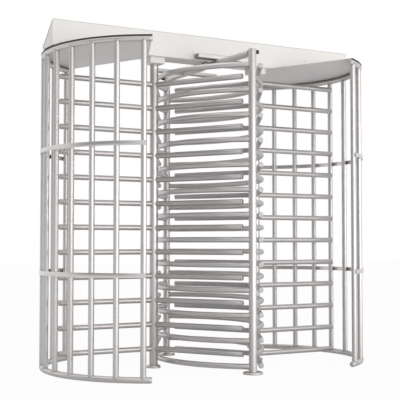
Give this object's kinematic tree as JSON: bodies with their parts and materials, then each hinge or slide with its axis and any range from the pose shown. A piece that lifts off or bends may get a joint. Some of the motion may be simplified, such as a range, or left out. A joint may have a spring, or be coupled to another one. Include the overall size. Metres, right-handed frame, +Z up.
{
  "type": "full height turnstile",
  "caption": "Full height security turnstile with rotors of horizontal arms, curved barred screens, fixed combs between the rotors and a sloping header that hides the locking gear.",
  "frame": {"origin": "on the floor, midway between the two rotor axes", "axes": "+X along the header, +Y from the header's tall front face towards its low back, +Z up"},
  "size_m": [2.46, 1.4122, 2.3742],
  "materials": {
    "satin_steel": "satin stainless steel tube, long fine grain",
    "painted_sheet": "warm off-white powder coat, faint orange peel",
    "grey_sheet": "flat mid-grey sheet",
    "black_rubber": "matt black edging",
    "black_plastic": "moulded, fine texture",
    "zinc_steel": "zinc plated, slightly cloudy",
    "box_grey": "plain grey paint",
    "white_diffuser": "opal diffuser, smooth"
  },
  "bodies": {
    "frame": {"left_screen": "satin_steel", "left_band_1": "satin_steel", "left_band_2": "satin_steel", "left_ceiling_panel": "grey_sheet", "left_panel_edging": "black_rubber", "left_pedestal": "satin_steel", "left_bearing_housing": "painted_sheet", "left_lock_magnet": "black_plastic", "right_screen": "satin_steel", "right_band_1": "satin_steel", "right_band_2": "satin_steel", "right_ceiling_panel": "grey_sheet", "right_panel_edging": "black_rubber", "right_pedestal": "satin_steel", "right_bearing_housing": "painted_sheet", "right_lock_magnet": "black_plastic", "rear_comb": "satin_steel", "front_comb": "satin_steel", "front_tie_arm": "satin_steel", "front_tie_cap": "black_plastic", "rear_tie_arm": "satin_steel", "rear_tie_cap": "black_plastic", "header_pan": "painted_sheet", "hood_hinge_rod": "zinc_steel", "control_box": "box_grey"},
    "left_rotor": {"left_rotor_column": "satin_steel", "left_index_disc": "zinc_steel", "left_tier_01": "satin_steel", "left_tier_02": "satin_steel", "left_tier_03": "satin_steel", "left_tier_04": "satin_steel", "left_tier_05": "satin_steel", "left_tier_06": "satin_steel", "left_tier_07": "satin_steel", "left_tier_08": "satin_steel", "left_tier_09": "satin_steel", "left_tier_10": "satin_steel", "left_tier_11": "satin_steel", "left_tier_12": "satin_steel"},
    "right_rotor": {"right_rotor_column": "satin_steel", "right_index_disc": "zinc_steel", "right_tier_01": "satin_steel", "right_tier_02": "satin_steel", "right_tier_03": "satin_steel", "right_tier_04": "satin_steel", "right_tier_05": "satin_steel", "right_tier_06": "satin_steel", "right_tier_07": "satin_steel", "right_tier_08": "satin_steel", "right_tier_09": "satin_steel", "right_tier_10": "satin_steel", "right_tier_11": "satin_steel", "right_tier_12": "satin_steel", "right_tier_13": "satin_steel"},
    "left_pawl": {"left_lock_pawl": "zinc_steel"},
    "right_pawl": {"right_lock_pawl": "zinc_steel"},
    "hood": {"header_hood": "painted_sheet", "passage_light": "white_diffuser"},
    "lock_plug": {"key_lock": "zinc_steel"}
  },
  "joints": [
    {"name": "left_rotor_spin", "type": "hinge", "parent": "frame", "child": "left_rotor", "pos_m": [-0.429, 0, 1.1], "axis": [0, 0, 1], "continuous": true},
    {"name": "right_rotor_spin", "type": "hinge", "parent": "frame", "child": "right_rotor", "pos_m": [0.429, 0, 1.1], "axis": [0, 0, 1], "continuous": true},
    {"name": "left_pawl_swing", "type": "hinge", "parent": "frame", "child": "left_pawl", "pos_m": [-0.343, -0.062, 2.207], "axis": [0, 0, 1], "range_deg": [0, 10]},
    {"name": "right_pawl_swing", "type": "hinge", "parent": "frame", "child": "right_pawl", "pos_m": [0.343, 0.062, 2.207], "axis": [0, 0, 1], "range_deg": [0, 10]},
    {"name": "hood_lift", "type": "hinge", "parent": "frame", "child": "hood", "pos_m": [0, 0.104, 2.2024], "axis": [-1, 0, 0], "range_deg": [0, 75]},
    {"name": "key_turn", "type": "hinge", "parent": "hood", "child": "lock_plug", "pos_m": [-0.243, -0.088, 2.2192], "axis": [0, 1, 0], "range_deg": [0, 90]}
  ]
}
